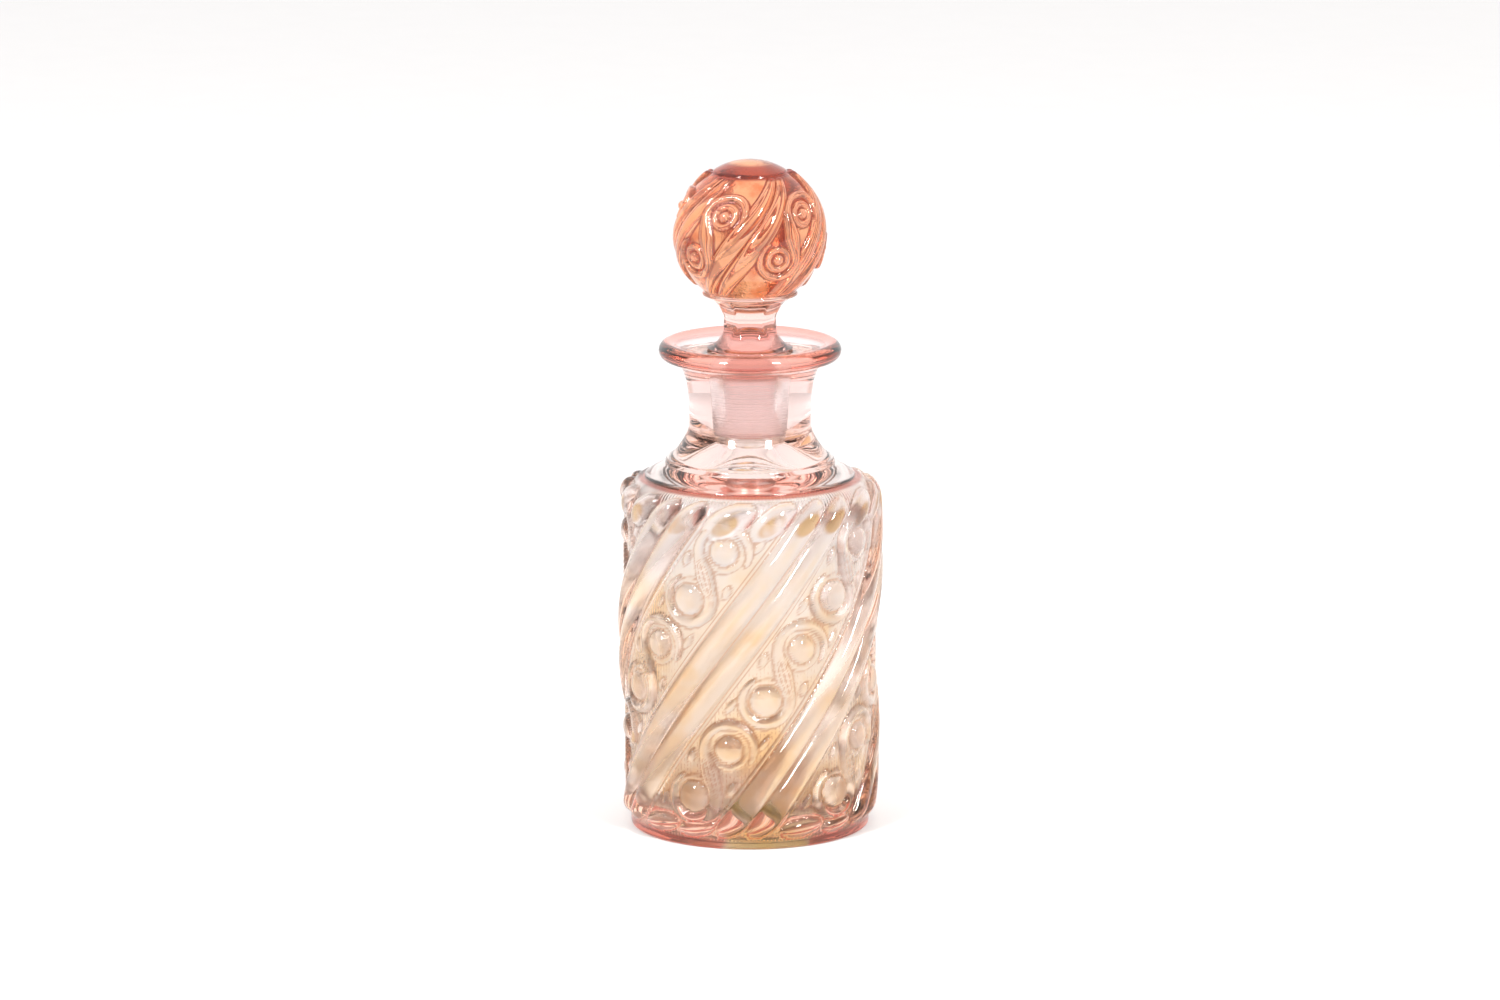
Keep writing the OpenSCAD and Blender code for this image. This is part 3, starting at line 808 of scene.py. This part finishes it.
def paint_bottle(colours):
    """Colour of the bottle: pale neck, rose lip and foot, peach body with amber clouds, painted
    highlight on crests, painted shade in grooves and hatch ticks and at the shoulder's and foot's edges,
    ochre rib ends and a residue at the front of the foot."""

    def paint(n, place, mask):
        z = n.add("ShaderNodeSeparateXYZ", {0: place}).outputs["Z"]
        reach = n.reach(place)
        cloud = n.noise(place, 62.0, 3.0)
        spot = n.noise(place, 170.0, 1.0)

        # tints by height, then the amber clouds
        body = n.mix(n.ramp(z, 0.045, 0.070), colours.peach, colours.pearl)
        body = n.mix(n.ramp(z, 0.084, 0.087), body, colours.pale)
        body = n.mix(n.ramp(z, 0.094, 0.099), body, colours.clear)
        body = n.mix(n.ramp(z, 0.045, 0.000), body, colours.blush)
        stain = n.math("MULTIPLY", n.ramp(cloud, 0.47, 0.62), n.ramp(z, 0.080, 0.055))
        body = n.mix(n.math("MULTIPLY", stain, 0.75), body, colours.amber)

        # colour that follows the relief: painted highlight on the crests, painted shade in the grooves
        body = n.mix(n.math("MULTIPLY", mask["crest"], 0.7), body, colours.light)
        lines = n.math("SUBTRACT", 0.8, n.math("MULTIPLY", n.ramp(z, 0.022, 0.008), 0.4))
        body = n.mix(n.math("MULTIPLY", mask["groove"], lines), body, colours.groove_shade)
        # painted shade along the ticks of the hatch on the bare ground, stronger low down
        ticks = n.math("MULTIPLY", mask["ticks"], n.ramp(z, 0.060, 0.030))
        body = n.mix(ticks, body, colours.groove_shade)
        tops = n.math("MULTIPLY", n.ramp(mask["rib_end"], 0.0, 0.6), n.ramp(cloud, 0.36, 0.52))
        body = n.mix(n.math("MULTIPLY", tops, 0.9), body, colours.ochre)

        # residue at the foot, with a ragged edge
        away = n.add("ShaderNodeVectorMath", {0: place, 1: RESIDUE_AT}, operation="DISTANCE")
        ragged = n.math("MULTIPLY", n.math("SUBTRACT", spot, 0.5), 0.016)
        away = n.math("ADD", away.outputs["Value"], ragged)
        low = n.math("MULTIPLY", n.ramp(away, 0.0135, 0.008), n.ramp(z, 0.0085, 0.004))
        body = n.mix(n.math("MULTIPLY", low, 0.85), body, colours.moss)

        # deep rose edges of the shoulder and the foot, partly the glass's own rose and partly painted
        # shade along those edges, and the rose lip
        edge = n.math("MULTIPLY", n.ramp(z, 0.0863, 0.0868), n.ramp(z, 0.0875, 0.0872))
        body = n.mix(n.math("MULTIPLY", edge, n.ramp(reach, 0.0248, 0.0253)), body, colours.garnet_and_edge_shade)
        # painted shade along the foot's outer bottom rim, in deep rose, kept off the residue
        rim = n.math("MULTIPLY", n.ramp(z, 0.0042, 0.0018), n.ramp(away, 0.009, 0.012))
        rim = n.math("MULTIPLY", rim, n.ramp(reach, 0.0265, 0.0288))
        body = n.mix(rim, body, colours.garnet_and_edge_shade)
        lip = n.math("MULTIPLY", n.ramp(z, 0.1120, 0.1160), n.ramp(reach, 0.0165, 0.0200))
        return n.mix(lip, body, colours.rose)

    return paint


def paint_stopper(colours):
    """Colour of the stopper: salmon plug and stem, rose flare, and an orange ball with coral
    ground, painted highlight on its crests, painted shade in its grooves and a deep band around its cap."""

    def paint(n, place, mask):
        z = n.add("ShaderNodeSeparateXYZ", {0: place}).outputs["Z"]
        cloud = n.noise(place, 150.0, 3.0)
        deep = n.math("MULTIPLY", mask["bare_ground"], n.ramp(cloud, 0.40, 0.60))
        ball = n.mix(deep, colours.orange, colours.coral)
        ball = n.mix(n.math("MULTIPLY", n.ramp(cloud, 0.60, 0.68), 0.7), ball, colours.russet_and_groove_shade)
        # painted highlight: salmon on the ball's crests
        ball = n.mix(n.math("MULTIPLY", mask["crest"], 0.25), ball, colours.salmon)
        # painted shade: russet in the ball's grooves
        ball = n.mix(mask["groove"], ball, colours.russet_and_groove_shade)
        band = n.math("MULTIPLY", n.ramp(z, 0.1612, 0.1618), n.ramp(z, 0.1648, 0.1641))
        ball = n.mix(band, ball, colours.russet_and_groove_shade)
        plain = n.mix(n.ramp(z, 0.0974, 0.0969), colours.salmon, colours.coral)
        flare = n.math("MULTIPLY", n.ramp(z, 0.1165, 0.1185), n.ramp(z, 0.1243, 0.1228))
        plain = n.mix(n.math("MULTIPLY", flare, 0.8), plain, colours.rose)
        return n.mix(n.ramp(z, 0.1322, 0.1335), plain, ball)

    return paint


# ---------------------------------------------------------------- operators


def dress(piece, material, body, node):
    """Gives a piece its material, ties it to its body and hides the CAD part it stands for."""
    piece.data.materials.append(material)
    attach(piece, body)
    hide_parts(node)


def shared_groups():
    """The shader groups that both glasses use, made once."""
    found = bpy.data.node_groups
    return {
        "skin": found.get("Mould skin") or mould_skin_group(),
        "joint": found.get("Ground joint") or ground_zone_group(),
    }


class SCENT_OT_bottle(bpy.types.Operator):
    """Makes the bottle: one closed skin of pressed glass with its pattern"""

    bl_idname = "scent.bottle"
    bl_label = "Bottle"

    def execute(self, context):
        s, c = context.scene.scent_bottle, context.scene.scent_colours
        piece = bottle_skin(s)
        zone = {
            "Foot": s.ground_z - 0.1 * MM,
            "Top": BOTTLE_HIGH[2] - s.dish_h,
            "Reach": s.mouth_r + 0.3 * MM,
        }
        mould = {"Grain": 0.8, "Hatch": 0.6}
        material = glass_material(
            "rose_glass",
            shared_groups(),
            zone,
            mould,
            paint_bottle(c),
            BOTTLE_TINT,
            BOTTLE_DENSITY,
            c.peach,
        )
        dress(piece, material, "bottle", "bottle")
        return {"FINISHED"}


class SCENT_OT_stopper(bpy.types.Operator):
    """Makes the stopper: a solid ball, stem and ground plug in one closed skin"""

    bl_idname = "scent.stopper"
    bl_label = "Stopper"

    def execute(self, context):
        s, c = context.scene.scent_stopper, context.scene.scent_colours
        piece = stopper_skin(s)
        zone = {"Foot": -1.0, "Top": BOTTLE_HIGH[2] - DISH_MM * MM, "Reach": 1.0}
        mould = {"Grain": 0.25, "Hatch": 0.0}
        material = glass_material(
            "salmon_glass",
            shared_groups(),
            zone,
            mould,
            paint_stopper(c),
            STOPPER_TINT,
            STOPPER_DENSITY,
            c.salmon,
        )
        dress(piece, material, "stopper", "stopper")
        return {"FINISHED"}


def look_at(item, place, target):
    """Puts an object at a place with its -Z towards a target."""
    item.location = place
    item.rotation_euler = (Vector(target) - Vector(place)).to_track_quat("-Z", "Y").to_euler()


def softbox(name, place, target, wide, tall, watts):
    """A rectangular area light that looks at a target."""
    lamp = bpy.data.lights.new(name, "AREA")
    lamp.shape, lamp.size, lamp.size_y, lamp.energy = "RECTANGLE", wide, tall, watts
    item = bpy.data.objects.new(name, lamp)
    bpy.context.scene.collection.objects.link(item)
    look_at(item, place, target)


def floor_piece():
    """A wide round pale floor just below the foot, in rings that grow outwards."""
    r = np.concatenate([[0.02], np.geomspace(0.06, 9.0, 24)])
    skin = Skin()
    skin.ring_block(np.array([[[0.0, 0.0, FLOOR_Z]]]))
    skin.ring_block(turned(np.column_stack([r, np.full(len(r), FLOOR_Z)]), 96))
    floor = skin.build("floor")
    floor.data.flip_normals()
    material = bpy.data.materials.new("white_paper")
    material.use_nodes = True
    n = Nodes(material.node_tree)
    surface = material.node_tree.nodes["Principled BSDF"]
    place = n.add("ShaderNodeTexCoord").outputs["Object"]
    fibre = n.add("ShaderNodeTexNoise", {"Vector": place, "Scale": 60.0, "Detail": 4.0}).outputs["Fac"]
    shade = n.mix(fibre, (0.72, 0.72, 0.72), (0.74, 0.74, 0.74))
    material.node_tree.links.new(shade, surface.inputs["Base Color"])
    surface.inputs["Roughness"].default_value = 0.7
    surface.inputs["Specular IOR Level"].default_value = 0.2
    floor.data.materials.append(material)
    return floor


def studio_world():
    """A bright room: white behind and overhead, dimmer and warmer low down behind the camera
    and far to the left and right."""
    world = bpy.data.worlds.new("studio")
    world.use_nodes = True
    n = Nodes(world.node_tree)
    way = n.add("ShaderNodeTexCoord").outputs["Generated"]
    part = n.add("ShaderNodeSeparateXYZ", {0: way})
    side = n.math("ADD", part.outputs["Y"], n.math("MULTIPLY", part.outputs["Z"], 0.8))
    glow = n.mix(n.ramp(side, -0.80, 0.20), (0.72, 0.62, 0.60), (1.0, 1.0, 1.0))
    back = world.node_tree.nodes["Background"]
    aside = n.ramp(n.math("ABSOLUTE", part.outputs["X"]), 0.78, 0.90)
    level = n.ramp(n.math("ABSOLUTE", part.outputs["Z"]), 0.55, 0.35)
    glow = n.mix(n.math("MULTIPLY", aside, level), glow, (0.80, 0.60, 0.52))
    world.node_tree.links.new(glow, back.inputs["Color"])
    back.inputs["Strength"].default_value = 1.14
    bpy.context.scene.world = world


class SCENT_OT_studio(bpy.types.Operator):
    """Makes the stage: white floor, bright room, two softboxes and the camera"""

    bl_idname = "scent.studio"
    bl_label = "Studio"

    def execute(self, context):
        s = context.scene.scent_studio
        floor_piece()
        studio_world()
        aim = (0.0, 0.0, s.aim_z)
        for side, name in ((-1, "softbox_left"), (1, "softbox_right")):
            place = (side * SOFTBOX_AT[0], SOFTBOX_AT[1], SOFTBOX_AT[2])
            softbox(name, place, aim, *SOFTBOX_SIZE, s.key)
        camera = bpy.data.cameras.new("camera")
        camera.lens, camera.sensor_width, camera.shift_y = s.lens, SENSOR_MM, SHIFT_Y
        item = bpy.data.objects.new("camera", camera)
        context.scene.collection.objects.link(item)
        back = s.distance
        look_at(item, (0.0, -back * np.cos(s.pitch), s.aim_z + back * np.sin(s.pitch)), aim)
        context.scene.camera = item
        context.scene.view_settings.view_transform = "Standard"
        return {"FINISHED"}


class SCENT_PT_sidebar(bpy.types.Panel):
    """The bottle's pieces, sizes and colours in the sidebar"""

    bl_idname = "SCENT_PT_sidebar"
    bl_label = "Scent bottle"
    bl_space_type = "VIEW_3D"
    bl_region_type = "UI"
    bl_category = "Scent bottle"

    def draw(self, context):
        for operator in OPERATORS:
            self.layout.operator(operator.bl_idname)
        for name, group in GROUPS.items():
            box = self.layout.box()
            box.label(text=group.__doc__)
            for key in group.__annotations__:
                box.prop(getattr(context.scene, name), key)


OPERATORS = (SCENT_OT_studio, SCENT_OT_bottle, SCENT_OT_stopper)
GROUPS = {
    "scent_bottle": BottleSizes,
    "scent_stopper": StopperSizes,
    "scent_colours": GlassColours,
    "scent_studio": StudioSizes,
}


def register():
    for group in GROUPS.values():
        bpy.utils.register_class(group)
    for item in (*OPERATORS, SCENT_PT_sidebar):
        bpy.utils.register_class(item)
    for name, group in GROUPS.items():
        setattr(bpy.types.Scene, name, bpy.props.PointerProperty(type=group))


def unregister():
    for name in GROUPS:
        delattr(bpy.types.Scene, name)
    for item in (SCENT_PT_sidebar, *reversed(OPERATORS), *reversed(GROUPS.values())):
        bpy.utils.unregister_class(item)


def main():
    register()
    bpy.ops.scent.studio()
    bpy.ops.scent.bottle()
    bpy.ops.scent.stopper()


if __name__ == "__main__":
    main()
